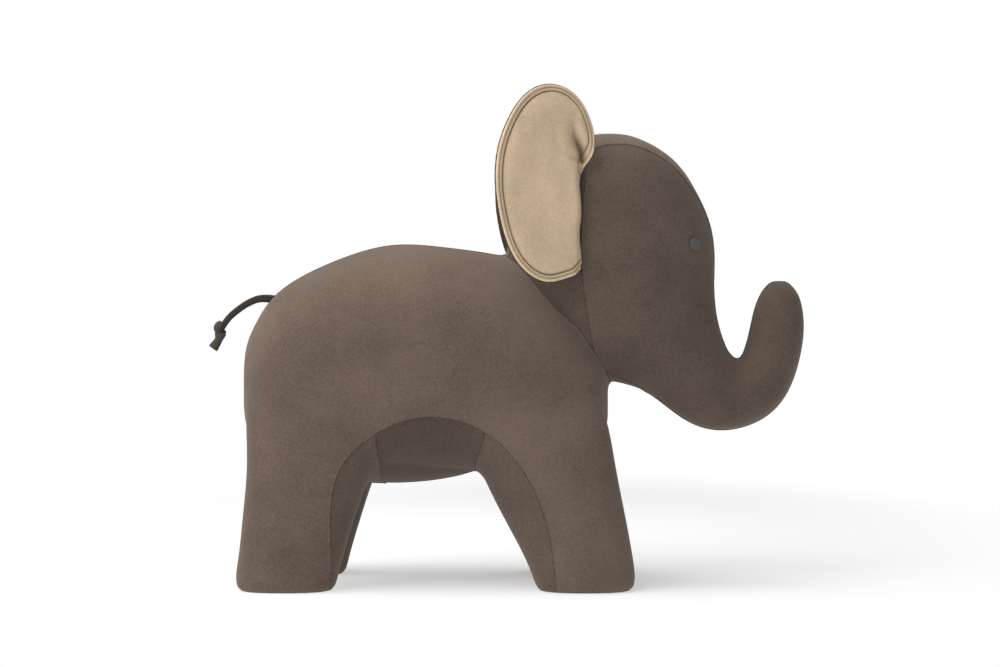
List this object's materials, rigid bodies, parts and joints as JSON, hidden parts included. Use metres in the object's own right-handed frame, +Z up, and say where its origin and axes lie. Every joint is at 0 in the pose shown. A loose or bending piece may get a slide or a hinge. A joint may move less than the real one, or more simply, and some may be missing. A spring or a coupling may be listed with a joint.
{
  "type": "stuffed elephant",
  "caption": "Large standing stuffed elephant in sewn suede-like cloth, with a raised curled trunk, padded light-lined ears, button eyes, flat-soled legs and a knotted strap tail.",
  "frame": {"origin": "on the floor under the middle of the body's outline, in the mid-plane, feet standing at z = 0", "axes": "+X forward out of the face, +Y to the elephant's left, +Z up"},
  "size_m": [0.8288, 0.3238, 0.6826],
  "materials": {
    "cover_suede": "brushed suede-like cloth, mottled taupe brown",
    "ear_lining": "soft beige suede-like cloth, topstitched",
    "ear_back_suede": "brushed dark brown suede-like cloth",
    "ear_wadding": "matte white wadding",
    "tail_suede": "dark brown suede-like strap",
    "eye_disc": "satin grey with a dark rim",
    "eye_washer": "matte white",
    "stuffing": "matte white polyester fibre",
    "foot_board": "raw fibreboard"
  },
  "bodies": {
    "elephant": {"belly_panel": "cover_suede", "body_side_panel_left": "cover_suede", "body_side_panel_right": "cover_suede", "chin_gusset": "cover_suede", "crown_gusset": "cover_suede", "ear_root_seam_left": "ear_back_suede", "ear_root_seam_right": "ear_back_suede", "eye_button_left": "eye_disc", "eye_button_right": "eye_disc", "eye_washer_left": "eye_washer", "eye_washer_right": "eye_washer", "front_foot_board_left": "foot_board", "front_foot_board_right": "foot_board", "front_inner_leg_panel_left": "cover_suede", "front_inner_leg_panel_right": "cover_suede", "front_leg_fill_left": "stuffing", "front_leg_fill_right": "stuffing", "front_sole_left": "cover_suede", "front_sole_right": "cover_suede", "head_fill": "stuffing", "head_side_panel_left": "cover_suede", "head_side_panel_right": "cover_suede", "neck_panel_left": "cover_suede", "neck_panel_right": "cover_suede", "rear_foot_board_left": "foot_board", "rear_foot_board_right": "foot_board", "rear_inner_leg_panel_left": "cover_suede", "rear_inner_leg_panel_right": "cover_suede", "rear_leg_fill_left": "stuffing", "rear_leg_fill_right": "stuffing", "rear_sole_left": "cover_suede", "rear_sole_right": "cover_suede", "torso_fill": "stuffing", "trunk_fill": "stuffing"},
    "ear_right": {"ear_back_right": "ear_back_suede", "ear_padding_right": "ear_wadding", "ear_front_right": "ear_lining", "ear_border_right": "ear_lining"},
    "ear_left": {"ear_back_left": "ear_back_suede", "ear_padding_left": "ear_wadding", "ear_front_left": "ear_lining", "ear_border_left": "ear_lining"},
    "tail": {"tail_strap": "tail_suede", "tail_knot": "tail_suede"}
  },
  "joints": [
    {"name": "ear_right_flap", "type": "hinge", "parent": "elephant", "child": "ear_right", "pos_m": [0.078, -0.112, 0.415], "axis": [0, 0.1396, 0.9902], "range_deg": [-10, 35], "stiffness_Nm_per_rad": 0.3},
    {"name": "ear_left_flap", "type": "hinge", "parent": "elephant", "child": "ear_left", "pos_m": [0.078, 0.112, 0.415], "axis": [0, 0.1396, -0.9902], "range_deg": [-10, 35], "stiffness_Nm_per_rad": 0.3},
    {"name": "tail_swing", "type": "hinge", "parent": "elephant", "child": "tail", "pos_m": [-0.361, 0, 0.396], "axis": [0, 1, 0], "range_deg": [-20, 50], "stiffness_Nm_per_rad": 0.1}
  ]
}
